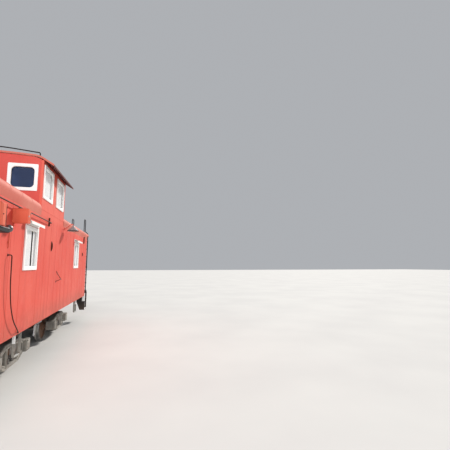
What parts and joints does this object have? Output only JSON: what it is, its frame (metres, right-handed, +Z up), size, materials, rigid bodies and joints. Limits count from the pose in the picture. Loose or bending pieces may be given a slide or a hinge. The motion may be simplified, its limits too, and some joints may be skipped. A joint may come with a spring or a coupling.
{
  "type": "cupola caboose",
  "caption": "Red steel railway caboose with a flush cupola, end platforms, ladders, swivelling trucks, turning wheelsets and hinged end doors.",
  "frame": {"origin": "centre of the vehicle, in the plane on which the wheel flanges stand", "axes": "+X along the vehicle to its far end, +Z up, -Y to the right-hand side that the picture shows"},
  "size_m": [12.12, 3.666, 4.7789],
  "materials": {
    "red_paint": "sun-faded red paint on steel sheet",
    "white_paint": "white paint",
    "black_paint": "weathered black paint",
    "iron_paint": "dark weathered paint on round bar",
    "lamp_metal": "grey enamel",
    "window_glass": "clear glass with a dark room behind",
    "blind_cloth": "plain white blind",
    "floor_wood": "worn boards",
    "cast_iron": "grey weathered casting with rust",
    "wheel_steel": "rolled steel, rusty on the plates"
  },
  "bodies": {
    "carbody": {"centre_sill": "black_paint", "cross_members": "black_paint", "outer_sills": "black_paint", "cabin_floor": "floor_wood", "platform_near": "black_paint", "steps_near": "black_paint", "railing_near": "black_paint", "ladder_near": "black_paint", "coupler_near": "cast_iron", "end_wall_near": "red_paint", "cupola_end_near": "red_paint", "roof_near": "red_paint", "platform_far": "black_paint", "steps_far": "black_paint", "railing_far": "black_paint", "ladder_far": "black_paint", "coupler_far": "cast_iron", "end_wall_far": "red_paint", "cupola_end_far": "red_paint", "roof_far": "red_paint", "wall_right": "red_paint", "cupola_side_right": "red_paint", "grab_irons_right": "iron_paint", "wall_left": "red_paint", "cupola_side_left": "red_paint", "grab_irons_left": "iron_paint", "cupola_roof": "red_paint", "cupola_handrails": "iron_paint", "cabin_window_frames": "white_paint", "cabin_window_glass": "window_glass", "cupola_window_frames": "white_paint", "cupola_window_glass": "window_glass", "window_blinds": "blind_cloth", "window_hoods": "white_paint", "stirrup_steps": "white_paint", "hand_brake": "black_paint", "wall_lamps": "lamp_metal", "wall_cabinets": "red_paint", "corner_lamp": "lamp_metal", "smoke_stack": "black_paint", "air_brake_gear": "cast_iron"},
    "door_near_leaf": {"door_near": "red_paint", "door_glass_near": "window_glass"},
    "truck_near": {"truck_frames_near": "cast_iron", "truck_bolster_near": "cast_iron", "truck_springs_near": "cast_iron", "brake_beams_near": "cast_iron"},
    "axle_near_outer": {"wheelset_near_outer": "wheel_steel"},
    "axle_near_inner": {"wheelset_near_inner": "wheel_steel"},
    "door_far_leaf": {"door_far": "red_paint", "door_glass_far": "window_glass"},
    "truck_far": {"truck_frames_far": "cast_iron", "truck_bolster_far": "cast_iron", "truck_springs_far": "cast_iron", "brake_beams_far": "cast_iron"},
    "axle_far_outer": {"wheelset_far_outer": "wheel_steel"},
    "axle_far_inner": {"wheelset_far_inner": "wheel_steel"}
  },
  "joints": [
    {"name": "door_near_hinge", "type": "hinge", "parent": "carbody", "child": "door_near_leaf", "pos_m": [-4.803, -0.377, 2.1], "axis": [0, 0, -1], "range_deg": [0, 100]},
    {"name": "truck_near_swivel", "type": "hinge", "parent": "carbody", "child": "truck_near", "pos_m": [-2.15, 0, 0.8], "axis": [0, 0, 1], "range_deg": [-10, 10]},
    {"name": "axle_near_outer_spin", "type": "hinge", "parent": "truck_near", "child": "axle_near_outer", "pos_m": [-2.988, 0, 0.4444], "axis": [0, 1, 0], "continuous": true},
    {"name": "axle_near_inner_spin", "type": "hinge", "parent": "truck_near", "child": "axle_near_inner", "pos_m": [-1.312, 0, 0.4444], "axis": [0, 1, 0], "continuous": true},
    {"name": "door_far_hinge", "type": "hinge", "parent": "carbody", "child": "door_far_leaf", "pos_m": [4.803, 0.377, 2.1], "axis": [0, 0, -1], "range_deg": [0, 100]},
    {"name": "truck_far_swivel", "type": "hinge", "parent": "carbody", "child": "truck_far", "pos_m": [2.15, 0, 0.8], "axis": [0, 0, 1], "range_deg": [-10, 10]},
    {"name": "axle_far_outer_spin", "type": "hinge", "parent": "truck_far", "child": "axle_far_outer", "pos_m": [2.988, 0, 0.4444], "axis": [0, 1, 0], "continuous": true},
    {"name": "axle_far_inner_spin", "type": "hinge", "parent": "truck_far", "child": "axle_far_inner", "pos_m": [1.312, 0, 0.4444], "axis": [0, 1, 0], "continuous": true}
  ]
}
